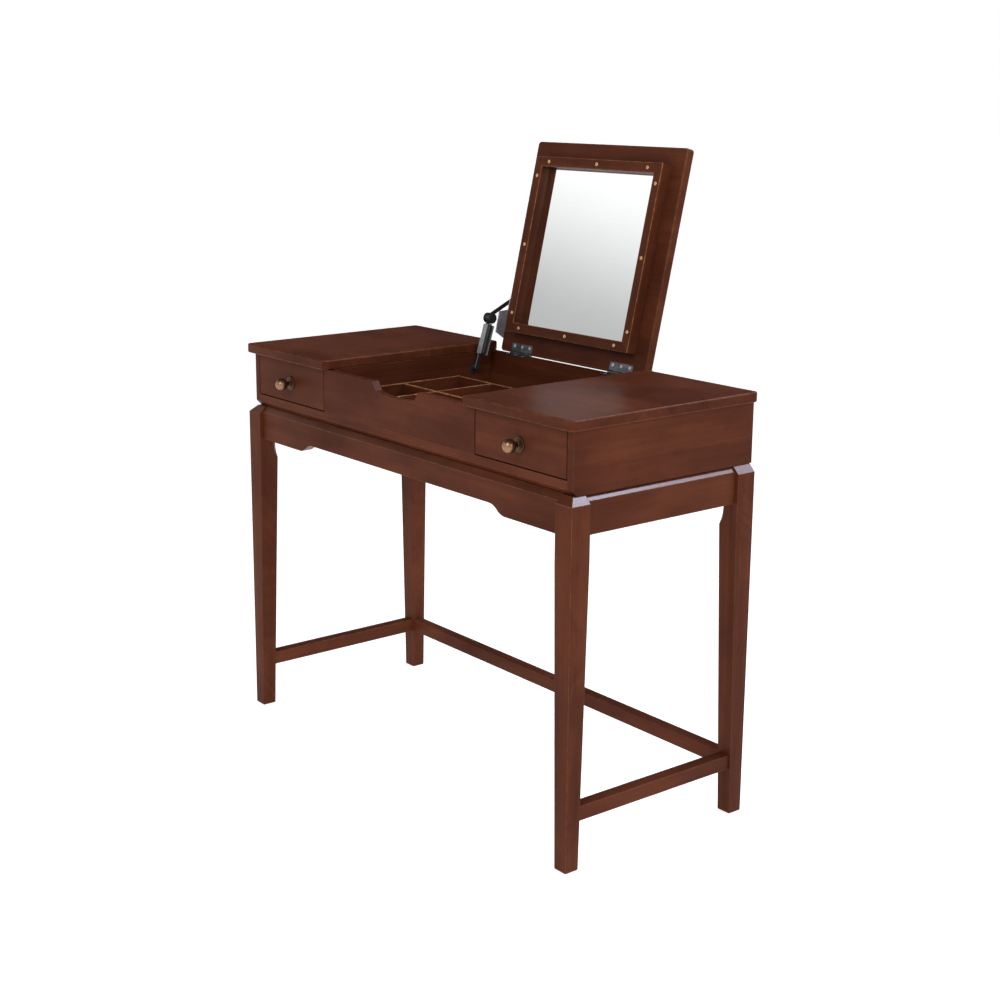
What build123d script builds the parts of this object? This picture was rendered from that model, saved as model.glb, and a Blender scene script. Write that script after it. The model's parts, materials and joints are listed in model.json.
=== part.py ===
from build123d import *
import os
from math import atan2, cos, degrees, radians, sin, sqrt

# Vanity table with a lift-up mirror lid.
# Millimetres. X runs left to right, Y runs front to back from the front edge of the tops, Z is up
# from the floor. Everything is drawn in this bench frame and exported with ORIGIN_Y taken off Y, so
# that the origin lies on the floor under the middle of the whole object with its lid raised.

# --- driving dimensions: table outline -------------------------------------------------------------
TABLE_W = 980.0
TABLE_D = 420.0
TABLE_H = 760.0
TOP_T = 18.0
TOP_EASE = 3.0              # rounding of the edges of the tops and the lid
TOP_CORNER_R = 9.0          # rounding of the outer corners of the tops, seen from above

# --- driving dimensions: base ----------------------------------------------------------------------
LEG_TOP_Z = 635.0
LEG_SIDE = 40.0             # square section under the aprons
LEG_FOOT = 28.0             # square section at the floor
LEG_TAPER_Z = 525.0         # the inner faces taper below this height
LEG_SET_Y = 3.0             # legs stand this far in from the front and back edges of the tops
LEG_CHAMFER = 13.0          # at the head of the front and outer faces
FOOT_CHAMFER = 1.5
LEG_FLAT = 9.0              # flat on the inner corner, where the corner block sits
LEG_FLAT_END_Z = 557.0
LEG_FLAT_RUN_OUT_R = 69.0
APRON_SET = 8.0             # aprons lie this far behind the leg faces
APRON_T = 20.0
APRON_BOTTOM_Z = 569.3
APRON_CHAMFER = 10.0
ARCH_Z = 585.5              # underside of the raised middle of the front apron
ARCH_HALF_W = 272.0
ARCH_STEP_W = 43.0          # width of the S-shaped step at each end of the raised middle
STRETCHER_T = 24.0
STRETCHER_SET = 4.5         # stretchers lie this far behind the leg faces
STRETCHER_Z = (84.5, 110.5)
STRETCHER_EASE = 1.5
BLOCK_Z = (596.0, 632.0)
BLOCK_REACH = 95.0
BOLT_R = 3.0
BOLT_Z = 614.0
NUT_R = 6.0
NUT_T = 5.0

# --- driving dimensions: case ----------------------------------------------------------------------
CASE_HALF_W = 479.0
CASE_FRONT_Y = 14.0
CASE_BACK_Y = 420.0
CASE_CHAMFER = 10.0
SIDE_T = 14.0
PARTITION_T = 15.0
FRONT_T = 15.0              # front rail, front panel and back panel
WELL_HALF_W = 214.5         # half width of the well under the lid
RAIL_TOP_Z = 659.0
BOTTOM_T = 9.0
WELL_RIM_Z = 741.0          # front panel and back panel, 1 mm under the closed lid
SCOOP_HALF_W = 70.0         # finger scoop in the front panel, at the rim
SCOOP_BOW = (59.0, 725.0)   # where its steep ends meet the bowed floor
SCOOP_Z = 719.5

# --- driving dimensions: well dividers -------------------------------------------------------------
DIVIDER_T = 6.0
DIVIDER_TOP_Z = 716.0
LEFT_DIVIDER_X = -135.0
MIDDLE_DIVIDER_X = -30.0
CROSS_DIVIDER_Y = 129.0
BACK_DIVIDER_Y = 261.0

# --- driving dimensions: drawers -------------------------------------------------------------------
DRAWER_GAP = 2.2
DRAWER_FRONT_T = 18.0
DRAWER_EASE = 1.2
DRAWER_SIDE_T = 12.0
DRAWER_SIDE_GAP = 4.0
DRAWER_BOX_Z = (667.0, 729.0)
DRAWER_BACK_Y = 372.0
DRAWER_BOTTOM_Z = (671.0, 675.0)
BOTTOM_GROOVE = 5.0
RUNNER_GROOVE_Z = (692.0, 704.0)
RUNNER_GROOVE = 6.0
RUNNER_PLAY = 0.4
RUNNER_START_Y = 46.0
RUNNER_END_Y = 398.0

# --- driving dimensions: knobs ---------------------------------------------------------------------
KNOB_ROSE_R = 13.5
KNOB_ROSE_T = 3.0
KNOB_STEM_R = 4.5
KNOB_HEAD_R = 12.0
KNOB_REACH = 33.0           # from the drawer front to the tip of the knob
KNOB_DROP = 3.0             # below the middle of the drawer front
KNOB_SCREW_R = 2.0
KNOB_SCREW_HEAD_R = 4.5
KNOB_SCREW_HEAD_T = 2.5
KNOB_SCREW_BITE = 12.0

# --- driving dimensions: lid, drawn closed, then opened about the hinge axis ------------------------
LID_HALF_W = 207.5
LID_FRONT_Y = 2.0
LID_REAR_Y = 423.5          # over the hinge axis, notched for the knuckles
LID_CORNER_R = 7.0          # rounding of the lid's corners, seen from above
LID_OPEN_DEG = 102.9
HINGE_Y = 423.5
HINGE_Z = 741.5
MOULDING_OUTER_X = 175.0
MOULDING_W = 19.0
MOULDING_T = 24.0
MOULDING_Y = (35.0, 383.5)
MOULDING_EASE = 1.2
GLASS_T = 4.0
GLASS_LAP = 5.0             # the moulding laps the glass by this much
MOULDING_SCREW_X = 137.5
MOULDING_SCREW_Y = 136.5
MOULDING_SCREW = (1.7, 3.5, 32.0)
HINGE_X = 143.0
LEAF_L = 62.0
LEAF_W = 19.5
LEAF_T = 1.5
LEAF_CLEAR = 3.3            # the flat of a leaf starts this far from the axis
KNUCKLE_R = 2.75
KNUCKLES = 5
KNUCKLE_GAP = 0.2
PIN_R = 1.35
PIN_FIT = 0.05
LEAF_SCREW_PITCH = 22.7
LEAF_SCREW_Y = 13.7         # from the axis
LEAF_SCREW = (1.5, 3.2, 13.0)

# --- driving dimensions: lid stay, a parallelogram of two arms on the left of the well --------------
STAY_FORWARD = 62.0         # wall pivot, forward of and below the hinge axis
STAY_DROP = 29.0
STAY_ARM = 101.0            # lid pivot, along the lid from the hinge axis
STAY_LID_RISE = 8.0         # lid pivot, above the hinge axis when the lid is closed
STAY_WALL_PLATE = (-214.5, -212.5)
STAY_UPPER_X = (-213.3, -211.2)
STAY_LOWER_X = (-206.0, -203.5)
STAY_CHANNEL_X = (-206.0, -193.0)
STAY_LID_PLATE = (-209.5, -207.5)
STAY_TAB_ROOT = (22.0, 84.0)  # the bracket's tab, from the hinge axis: at the lid and at its tip
STAY_TAB_TIP = (34.0, 76.0)
STAY_TAB_DROP = 20.0
STAY_CHANNEL = (28.0, 88.0)  # along the lower arm, from the wall pivot
STAY_CHANNEL_W = 18.0
STAY_CHANNEL_WALL = 1.4
STAY_ROD_R = 4.5
STAY_BAR_W = 9.0
STAY_UPPER_W = 8.0
STAY_HUB_R = 10.5
STAY_PIN_R = 2.5
STAY_LOOSE_FIT = 0.5        # clearance of the pivot on the lid, which closes the linkage

# --- worked out from the dimensions above ----------------------------------------------------------
HALF_W = TABLE_W / 2
TOP_Z = TABLE_H - TOP_T
LEG_BACK_Y = TABLE_D - LEG_SET_Y
APRON_END_X = HALF_W - LEG_SIDE
LID_TURN = radians(LID_OPEN_DEG)
PARTITION_X = WELL_HALF_W + PARTITION_T
SIDE_X = CASE_HALF_W - SIDE_T
BACK_INNER_Y = CASE_BACK_Y - FRONT_T
FRONT_INNER_Y = CASE_FRONT_Y + FRONT_T
DRAWER_X = (PARTITION_X + SIDE_X) / 2
DRAWER_Z = (RAIL_TOP_Z + TOP_Z) / 2
DRAWER_REAR_FACE_Y = CASE_FRONT_Y + DRAWER_FRONT_T
MOULDING_INNER_X = MOULDING_OUTER_X - MOULDING_W
MOULDING_MID_Y = sum(MOULDING_Y) / 2
KNOB_TIP_Y = CASE_FRONT_Y - KNOB_REACH
KNOB_Z = DRAWER_Z - KNOB_DROP


def lid_point(forward, rise):
    """Where a point of the lid lies when the lid is raised: (Y, Z)."""
    y = HINGE_Y - forward * cos(LID_TURN) + rise * sin(LID_TURN)
    z = HINGE_Z + forward * sin(LID_TURN) + rise * cos(LID_TURN)
    return y, z


LID_EDGE_Y = lid_point(HINGE_Y - LID_FRONT_Y - TOP_EASE, TABLE_H - TOP_EASE - HINGE_Z)[0] + TOP_EASE
ORIGIN_Y = (KNOB_TIP_Y + LID_EDGE_Y) / 2


# --- helpers ---------------------------------------------------------------------------------------
def board(x, y, z):
    """A rectangular board between the given low and high X, Y and Z."""
    centre = ((x[0] + x[1]) / 2, (y[0] + y[1]) / 2, (z[0] + z[1]) / 2)
    return Pos(*centre) * Box(x[1] - x[0], y[1] - y[0], z[1] - z[0])


def bar(plane, outline, low, high):
    """The outline, drawn on the plane, carried from low to high along the plane's normal."""
    start = plane.offset(low)
    return extrude(start * make_face(Polyline(*outline, close=True)), high - low)


def along_x(outline_yz, x):
    return bar(Plane.YZ, outline_yz, x[0], x[1])


def along_y(outline_xz, y):
    return bar(Plane.XZ, outline_xz, -y[1], -y[0])


def along_z(outline_xy, z):
    return bar(Plane.XY, outline_xy, z[0], z[1])


def rod(axis, centre, radius, low, high):
    """A round rod along axis X, Y or Z from low to high; centre holds the other two coordinates."""
    middle = (low + high) / 2
    length = high - low
    if axis == "X":
        return Pos(middle, centre[0], centre[1]) * Rot(0, 90, 0) * Cylinder(radius, length)
    if axis == "Y":
        return Pos(centre[0], middle, centre[1]) * Rot(90, 0, 0) * Cylinder(radius, length)
    return Pos(centre[0], centre[1], middle) * Cylinder(radius, length)


def left_and_right(shape):
    """The shape, drawn for the right-hand side, and its mirror image on the left."""
    return mirror(shape, Plane.YZ), shape


def group(shapes):
    """Several equal pieces as one node of separate solids."""
    return Compound([solid for shape in shapes for solid in shape.solids()])


def wood_screw(shank_r, head_r, length, play=0.0):
    """A countersunk screw hanging down from a head that is flush with Z = 0."""
    cone = head_r - shank_r
    outline = [(0, 0), (head_r + play, 0), (shank_r + play, -cone), (shank_r + play, -length - play)]
    section = Plane.XZ * make_face(Polyline(*outline, (0, -length - play), close=True))
    return revolve(section, Axis.Z)


# --- base ------------------------------------------------------------------------------------------
def leg_outline(head):
    """The leg seen square on, with its outer face on the zero line and the given outer head."""
    foot = LEG_FOOT
    return [(FOOT_CHAMFER, 0), (foot - FOOT_CHAMFER, 0), (foot, FOOT_CHAMFER),
            (LEG_SIDE, LEG_TAPER_Z), (LEG_SIDE, LEG_TOP_Z), *head, (0, FOOT_CHAMFER)]


def inner_corner_cut():
    """Cutter for the flat on the leg's inner corner, with its curved run-out below."""
    flat = (2 * LEG_SIDE - LEG_FLAT) / sqrt(2)
    reach = 2 * LEG_SIDE
    depth = sqrt(2) * LEG_SIDE - flat
    run = sqrt(LEG_FLAT_RUN_OUT_R**2 - (LEG_FLAT_RUN_OUT_R - depth)**2)
    start = LEG_FLAT_END_Z
    middle = 0.5 * run
    bow = LEG_FLAT_RUN_OUT_R - sqrt(LEG_FLAT_RUN_OUT_R**2 - middle**2)
    plane = Plane(origin=(0, 0, 0), x_dir=(1, 1, 0), z_dir=(1, -1, 0))
    path = [Line((flat, LEG_TOP_Z + 1), (flat, start)),
            ThreePointArc((flat, start), (flat + bow, start - middle), (flat + depth, start - run)),
            Polyline((flat + depth, start - run), (reach, start - run), (reach, LEG_TOP_Z + 1),
                     (flat, LEG_TOP_Z + 1))]
    return extrude(plane * make_face(path), LEG_SIDE, both=True)


def bolt_axis(low, high, radius):
    """A rod on the diagonal of the leg, between two distances from its outer corner."""
    middle = (low + high) / 2 / sqrt(2)
    turned = Pos(middle, middle, BOLT_Z) * Rot(0, 0, 45) * Rot(0, 90, 0)
    return turned * Cylinder(radius, high - low)


def make_leg(is_front):
    """A leg at its outer corner: chamfered at the head of its outer face, a front one on both."""
    chamfer = [(LEG_CHAMFER, LEG_TOP_Z), (0, LEG_TOP_Z - LEG_CHAMFER)]
    seen_from_front = leg_outline(chamfer)
    seen_from_side = leg_outline(chamfer if is_front else [(0, LEG_TOP_Z)])
    leg = along_y(seen_from_front, (0, LEG_SIDE)) & along_x(seen_from_side, (0, LEG_SIDE))
    leg -= inner_corner_cut()
    return leg - bolt_axis(sqrt(2) * LEG_SIDE / 2, 2 * LEG_SIDE, BOLT_R)


def make_block():
    inner = APRON_SET + APRON_T
    flat = LEG_SIDE - LEG_FLAT
    outline = [(inner, BLOCK_REACH), (inner, LEG_SIDE), (flat, LEG_SIDE), (LEG_SIDE, flat),
               (LEG_SIDE, inner), (BLOCK_REACH, inner)]
    block = along_z(outline, BLOCK_Z)
    return block - bolt_axis(0, 2 * BLOCK_REACH, BOLT_R)


def make_bolt():
    face = (BLOCK_REACH + APRON_SET + APRON_T) / sqrt(2)
    shank = bolt_axis(sqrt(2) * LEG_SIDE / 2, face + 2 * NUT_T, BOLT_R)
    spot = (face + NUT_T / 2) / sqrt(2)
    turned = Pos(spot, spot, BOLT_Z) * Rot(0, 0, 45) * Rot(0, 90, 0)
    nut = extrude(turned * Pos(0, 0, -NUT_T / 2) * RegularPolygon(NUT_R, 6), NUT_T)
    return shank + nut


def at_corners(front, back):
    """Pieces drawn at a leg's outer corner, moved to the four corners, by the name of the corner."""
    corner = Pos(-HALF_W, LEG_SET_Y, 0)
    front_left = corner * front
    back_left = mirror(corner * back, Plane.XZ.offset(-TABLE_D / 2))
    return {
        "front_left": front_left,
        "front_right": mirror(front_left, Plane.YZ),
        "back_left": back_left,
        "back_right": mirror(back_left, Plane.YZ),
    }


def apron_section(outer, inner):
    """Section of an apron: its outer face at one place, its inner face at the other, and Z."""
    inward = 1 if inner > outer else -1
    return [(inner, APRON_BOTTOM_Z), (inner, LEG_TOP_Z),
            (outer + inward * APRON_CHAMFER, LEG_TOP_Z),
            (outer, LEG_TOP_Z - APRON_CHAMFER), (outer, APRON_BOTTOM_Z)]


def arch_cut():
    """Cutter for the raised middle of the front apron, with an S-shaped step at each end."""
    foot = ARCH_HALF_W + ARCH_STEP_W
    middle_x = ARCH_HALF_W + ARCH_STEP_W / 2
    middle_z = (APRON_BOTTOM_Z + ARCH_Z) / 2
    right_top = TangentArc((ARCH_HALF_W, ARCH_Z), (middle_x, middle_z), tangent=(1, 0))
    right_foot = TangentArc((foot, APRON_BOTTOM_Z), (middle_x, middle_z), tangent=(-1, 0))
    left_top = TangentArc((-ARCH_HALF_W, ARCH_Z), (-middle_x, middle_z), tangent=(-1, 0))
    left_foot = TangentArc((-foot, APRON_BOTTOM_Z), (-middle_x, middle_z), tangent=(1, 0))
    under = APRON_BOTTOM_Z - 1
    closing = Polyline((foot, APRON_BOTTOM_Z), (foot, under), (-foot, under), (-foot, APRON_BOTTOM_Z))
    top = Line((-ARCH_HALF_W, ARCH_Z), (ARCH_HALF_W, ARCH_Z))
    face = make_face([top, right_top, right_foot, closing, left_foot, left_top])
    return extrude(Plane.XZ * face, 2 * APRON_T, both=True)


def make_base():
    corners = at_corners(make_leg(True), make_leg(False))
    block, bolt = make_block(), make_bolt()
    front_y = LEG_SET_Y + APRON_SET
    back_y = LEG_BACK_Y - APRON_SET
    side_x = HALF_W - APRON_SET
    between_x = (-APRON_END_X, APRON_END_X)
    between_y = (LEG_SET_Y + LEG_SIDE, LEG_BACK_Y - LEG_SIDE)
    front = along_x(apron_section(front_y, front_y + APRON_T), between_x) - arch_cut()
    side = along_y(apron_section(side_x, side_x - APRON_T), between_y)
    left_apron, right_apron = left_and_right(side)
    nodes = {name + "_leg": leg for name, leg in corners.items()}
    nodes["front_apron"] = front
    nodes["back_apron"] = board(between_x, (back_y - APRON_T, back_y), (APRON_BOTTOM_Z, LEG_TOP_Z))
    nodes["left_apron"] = left_apron
    nodes["right_apron"] = right_apron
    nodes.update(make_stretchers())
    nodes["corner_blocks"] = group(at_corners(block, block).values())
    nodes["leg_bolts"] = group(at_corners(bolt, bolt).values())
    return nodes


def make_stretchers():
    """Three plain rails near the floor: one on each side and one at the back."""
    low, high = STRETCHER_Z
    middle = (low + high) / 2
    leg_here = LEG_FOOT + (LEG_SIDE - LEG_FOOT) * middle / LEG_TAPER_Z
    lean = (LEG_SIDE - LEG_FOOT) / LEG_TAPER_Z * (high - middle)
    side_x = HALF_W - STRETCHER_SET
    back_y = LEG_BACK_Y - STRETCHER_SET

    def slanted(near, far):
        """Side view of a stretcher whose ends follow the tapered legs."""
        return [(near - lean, low), (near + lean, high), (far - lean, high), (far + lean, low)]

    side_ends = slanted(LEG_SET_Y + leg_here, LEG_BACK_Y - leg_here)
    side = along_x(side_ends, (side_x - STRETCHER_T, side_x))
    back_ends = slanted(-HALF_W + leg_here, HALF_W - leg_here)
    back = along_y(back_ends, (back_y - STRETCHER_T, back_y))
    side = fillet(side.edges().filter_by(Axis.Y), STRETCHER_EASE)
    back = fillet(back.edges().filter_by(Axis.X), STRETCHER_EASE)
    left, right = left_and_right(side)
    return {"left_stretcher": left, "right_stretcher": right, "back_stretcher": back}


# --- case ------------------------------------------------------------------------------------------
def make_side_panel():
    """The right-hand side panel, chamfered at its front lower edge like the rail beside it."""
    low = LEG_TOP_Z
    outline = [(CASE_FRONT_Y + CASE_CHAMFER, low), (CASE_BACK_Y, low), (CASE_BACK_Y, TOP_Z),
               (CASE_FRONT_Y, TOP_Z), (CASE_FRONT_Y, low + CASE_CHAMFER)]
    return along_x(outline, (SIDE_X, CASE_HALF_W))


def make_front_rail():
    low = LEG_TOP_Z
    section = [(CASE_FRONT_Y + CASE_CHAMFER, low), (FRONT_INNER_Y, low), (FRONT_INNER_Y, RAIL_TOP_Z),
               (CASE_FRONT_Y, RAIL_TOP_Z), (CASE_FRONT_Y, low + CASE_CHAMFER)]
    return along_x(section, (-SIDE_X, SIDE_X))


def scoop_cut():
    """Cutter for the finger scoop: steep straight ends and a shallow bowed floor."""
    bow_x, bow_z = SCOOP_BOW
    rim = WELL_RIM_Z + 1
    floor = ThreePointArc((-bow_x, bow_z), (0, SCOOP_Z), (bow_x, bow_z))
    sides = Polyline((bow_x, bow_z), (SCOOP_HALF_W, WELL_RIM_Z), (SCOOP_HALF_W, rim),
                     (-SCOOP_HALF_W, rim), (-SCOOP_HALF_W, WELL_RIM_Z), (-bow_x, bow_z))
    cutter = Plane.XZ * make_face([floor, sides])
    return extrude(cutter, -2 * FRONT_INNER_Y)


def leaf_seat(z):
    """Pockets for the two hinge leaves between the given heights."""
    y = (HINGE_Y - LEAF_W, HINGE_Y)
    spots = (-HINGE_X, HINGE_X)
    return [board((x - LEAF_L / 2, x + LEAF_L / 2), y, z) for x in spots]


def knuckle_notches():
    """Notches in the closed lid's rear edge that clear the hinge knuckles."""
    y = (HINGE_Y - LEAF_CLEAR, HINGE_Y + 1)
    z = (TOP_Z, HINGE_Z + LEAF_CLEAR)
    return [board((x - LEAF_L / 2, x + LEAF_L / 2), y, z) for x in (-HINGE_X, HINGE_X)]


def leaf_screw_spots():
    y = HINGE_Y - LEAF_SCREW_Y
    return [(side * HINGE_X + step * LEAF_SCREW_PITCH, y) for side in (-1, 1) for step in (-1, 0, 1)]


def make_back_panel():
    panel = board((-SIDE_X, SIDE_X), (BACK_INNER_Y, CASE_BACK_Y), (LEG_TOP_Z, TOP_Z))
    panel -= board((-WELL_HALF_W, WELL_HALF_W), (BACK_INNER_Y, CASE_BACK_Y), (WELL_RIM_Z, TOP_Z))
    for seat in leaf_seat((WELL_RIM_Z - LEAF_T, WELL_RIM_Z)):
        panel -= seat
    for x, y in leaf_screw_spots():
        panel -= Pos(x, y, WELL_RIM_Z) * wood_screw(*LEAF_SCREW)
    return panel


def make_top():
    """The fixed top over the right-hand drawer."""
    top = board((WELL_HALF_W, HALF_W), (0, TABLE_D), (TOP_Z, TABLE_H))
    corners = top.edges().filter_by(Axis.Z).group_by(Axis.X)[-1]
    top = fillet(corners, TOP_CORNER_R)
    rims = top.faces().sort_by(Axis.Z)
    return fillet(rims[0].edges() + rims[-1].edges(), TOP_EASE)


def make_runners():
    """Hardwood strips that the drawers' grooved sides slide on."""
    z = (RUNNER_GROOVE_Z[0] + RUNNER_PLAY, RUNNER_GROOVE_Z[1] - RUNNER_PLAY)
    y = (RUNNER_START_Y, RUNNER_END_Y)
    reach = DRAWER_SIDE_GAP + RUNNER_GROOVE - RUNNER_PLAY
    inner = board((PARTITION_X, PARTITION_X + reach), y, z)
    outer = board((SIDE_X - reach, SIDE_X), y, z)
    return group([*left_and_right(inner), *left_and_right(outer)])


def make_case():
    left_side, right_side = left_and_right(make_side_panel())
    partition = board((WELL_HALF_W, PARTITION_X), (FRONT_INNER_Y, BACK_INNER_Y), (RAIL_TOP_Z, TOP_Z))
    left_partition, right_partition = left_and_right(partition)
    left_top, right_top = left_and_right(make_top())
    depth = (FRONT_INNER_Y, BACK_INNER_Y)
    panel_z = (RAIL_TOP_Z, WELL_RIM_Z)
    front = board((-PARTITION_X, PARTITION_X), (CASE_FRONT_Y, FRONT_INNER_Y), panel_z) - scoop_cut()
    return {
        "left_side_panel": left_side,
        "right_side_panel": right_side,
        "front_rail": make_front_rail(),
        "front_panel": front,
        "back_panel": make_back_panel(),
        "case_bottom": board((-SIDE_X, SIDE_X), depth, (RAIL_TOP_Z - BOTTOM_T, RAIL_TOP_Z)),
        "left_partition": left_partition,
        "right_partition": right_partition,
        "drawer_runners": make_runners(),
        "left_top": left_top,
        "right_top": right_top,
    }


def make_dividers():
    """Thin boards that part the well into open trays; the two that cross are halved together."""
    z = (RAIL_TOP_Z, DIVIDER_TOP_Z)
    half_z = sum(z) / 2
    half = DIVIDER_T / 2
    back_y = (BACK_DIVIDER_Y - half, BACK_DIVIDER_Y + half)
    cross_y = (CROSS_DIVIDER_Y - half, CROSS_DIVIDER_Y + half)
    left_x = (LEFT_DIVIDER_X - half, LEFT_DIVIDER_X + half)
    middle_x = (MIDDLE_DIVIDER_X - half, MIDDLE_DIVIDER_X + half)
    span_x = (left_x[1], WELL_HALF_W)
    crossing = (middle_x, cross_y)
    return {
        "left_divider": board(left_x, (FRONT_INNER_Y, back_y[1]), z),
        "middle_divider": board(middle_x, (FRONT_INNER_Y, back_y[0]), z) - board(*crossing, (z[0], half_z)),
        "cross_divider": board(span_x, cross_y, z) - board(*crossing, (half_z, z[1])),
        "back_divider": board(span_x, back_y, z),
    }


# --- drawers ---------------------------------------------------------------------------------------
def make_knob():
    """A ball knob on a round rose, turned about the Y axis, with its foot on Y = 0."""
    head_mid = KNOB_REACH - KNOB_HEAD_R
    rose = fillet(rod("Y", (0, 0), KNOB_ROSE_R, -KNOB_ROSE_T, 0).edges().sort_by(Axis.Y)[0], 1.2)
    stem = rod("Y", (0, 0), KNOB_STEM_R, -head_mid, -KNOB_ROSE_T)
    knob = rose + stem + Pos(0, -head_mid, 0) * Sphere(KNOB_HEAD_R)
    return knob - rod("Y", (0, 0), KNOB_SCREW_R, -KNOB_SCREW_BITE, 1)


def make_knob_screw():
    """The screw that holds the knob, passed through the drawer front from inside."""
    inside = DRAWER_FRONT_T
    shank = rod("Y", (0, 0), KNOB_SCREW_R, -KNOB_SCREW_BITE, inside)
    head = rod("Y", (0, 0), KNOB_SCREW_HEAD_R, inside, inside + KNOB_SCREW_HEAD_T)
    return shank + fillet(head.edges().sort_by(Axis.Y)[-1], 1.0)


def make_drawer():
    """The right-hand drawer, closed."""
    low_x, high_x = PARTITION_X + DRAWER_GAP, SIDE_X - DRAWER_GAP
    front_z = (RAIL_TOP_Z + DRAWER_GAP, TOP_Z - DRAWER_GAP)
    front = board((low_x, high_x), (CASE_FRONT_Y, DRAWER_REAR_FACE_Y), front_z)
    front = fillet(front.faces().sort_by(Axis.Y)[0].edges(), DRAWER_EASE)
    box_low, box_high = PARTITION_X + DRAWER_SIDE_GAP, SIDE_X - DRAWER_SIDE_GAP
    inner_low, inner_high = box_low + DRAWER_SIDE_T, box_high - DRAWER_SIDE_T
    depth = (DRAWER_REAR_FACE_Y, DRAWER_BACK_Y)
    groove_y = (RUNNER_START_Y - RUNNER_PLAY, DRAWER_BACK_Y)
    bottom = board((inner_low - BOTTOM_GROOVE, inner_high + BOTTOM_GROOVE),
                   (DRAWER_REAR_FACE_Y - BOTTOM_GROOVE, DRAWER_BACK_Y), DRAWER_BOTTOM_Z)
    inner_side = board((box_low, inner_low), depth, DRAWER_BOX_Z)
    inner_side -= board((box_low, box_low + RUNNER_GROOVE), groove_y, RUNNER_GROOVE_Z)
    outer_side = board((inner_high, box_high), depth, DRAWER_BOX_Z)
    outer_side -= board((box_high - RUNNER_GROOVE, box_high), groove_y, RUNNER_GROOVE_Z)
    back_z = (DRAWER_BOTTOM_Z[1], DRAWER_BOX_Z[1])
    knob_hole = rod("Y", (DRAWER_X, KNOB_Z), KNOB_SCREW_R, CASE_FRONT_Y, DRAWER_REAR_FACE_Y)
    at_knob = Pos(DRAWER_X, CASE_FRONT_Y, KNOB_Z)
    return {
        "drawer_front": front - bottom - knob_hole,
        "drawer_inner_side": inner_side - bottom,
        "drawer_outer_side": outer_side - bottom,
        "drawer_back": board((inner_low, inner_high), (DRAWER_BACK_Y - DRAWER_SIDE_T, DRAWER_BACK_Y), back_z),
        "drawer_bottom": bottom,
        "drawer_knob": at_knob * make_knob(),
        "drawer_knob_screw": at_knob * make_knob_screw(),
    }


def make_drawers():
    nodes = {}
    for name, shape in make_drawer().items():
        left, right = left_and_right(shape)
        nodes["left_" + name] = left
        nodes["right_" + name] = right
    return nodes


# --- lid, drawn closed -----------------------------------------------------------------------------
def moulding_screw_spots():
    x = MOULDING_OUTER_X - MOULDING_W / 2
    low_y = MOULDING_Y[0] + MOULDING_W / 2
    high_y = MOULDING_Y[1] - MOULDING_W / 2
    across = [(step * MOULDING_SCREW_X, y) for y in (low_y, high_y) for step in (-1, 0, 1)]
    down = [(side * x, MOULDING_MID_Y + step * MOULDING_SCREW_Y) for side in (-1, 1) for step in (-1, 0, 1)]
    return across + down


def moulding_screws():
    """Brass screws up through the moulding into the lid, heads flush with the moulding's face."""
    face_z = TOP_Z - MOULDING_T
    screw = Rot(180, 0, 0) * wood_screw(*MOULDING_SCREW)
    return [Pos(x, y, face_z) * screw for x, y in moulding_screw_spots()]


def make_glass():
    x = MOULDING_INNER_X + GLASS_LAP
    y = (MOULDING_Y[0] + MOULDING_W - GLASS_LAP, MOULDING_Y[1] - MOULDING_W + GLASS_LAP)
    return board((-x, x), y, (TOP_Z - GLASS_T, TOP_Z))


def make_moulding(glass, screws):
    """Four mitred rails round the glass, rebated over its edge and screwed to the lid."""
    outer, inner = MOULDING_OUTER_X, MOULDING_INNER_X
    low, high = MOULDING_Y
    low_in, high_in = low + MOULDING_W, high - MOULDING_W
    z = (TOP_Z - MOULDING_T, TOP_Z)
    outlines = {
        "upper_moulding": [(-outer, low), (outer, low), (inner, low_in), (-inner, low_in)],
        "lower_moulding": [(-outer, high), (outer, high), (inner, high_in), (-inner, high_in)],
        "left_moulding": [(-outer, low), (-outer, high), (-inner, high_in), (-inner, low_in)],
        "right_moulding": [(outer, low), (outer, high), (inner, high_in), (inner, low_in)],
    }
    rails = {}
    for name, outline in outlines.items():
        rail = along_z(outline, z)
        lengthwise = Axis.Y if name in ("left_moulding", "right_moulding") else Axis.X
        face_edges = rail.edges().filter_by(lengthwise).group_by(Axis.Z)[0]
        rail = fillet(face_edges, MOULDING_EASE) - glass
        for screw in screws:
            rail -= screw
        rails[name] = rail
    return rails


def make_leaf(x, z, own_knuckles):
    """One hinge leaf at X, its flat between the heights z, carrying the knuckles it owns."""
    low = x - LEAF_L / 2
    leaf = board((low, low + LEAF_L), (HINGE_Y - LEAF_W, HINGE_Y - LEAF_CLEAR), z)
    pitch = LEAF_L / KNUCKLES
    for number in own_knuckles:
        span = (low + number * pitch + KNUCKLE_GAP / 2, low + (number + 1) * pitch - KNUCKLE_GAP / 2)
        leaf += board(span, (HINGE_Y - LEAF_CLEAR, HINGE_Y), z)
        leaf += rod("X", (HINGE_Y, HINGE_Z), KNUCKLE_R, *span)
    leaf -= rod("X", (HINGE_Y, HINGE_Z), PIN_R + PIN_FIT, low - 1, low + LEAF_L + 1)
    return leaf


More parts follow.
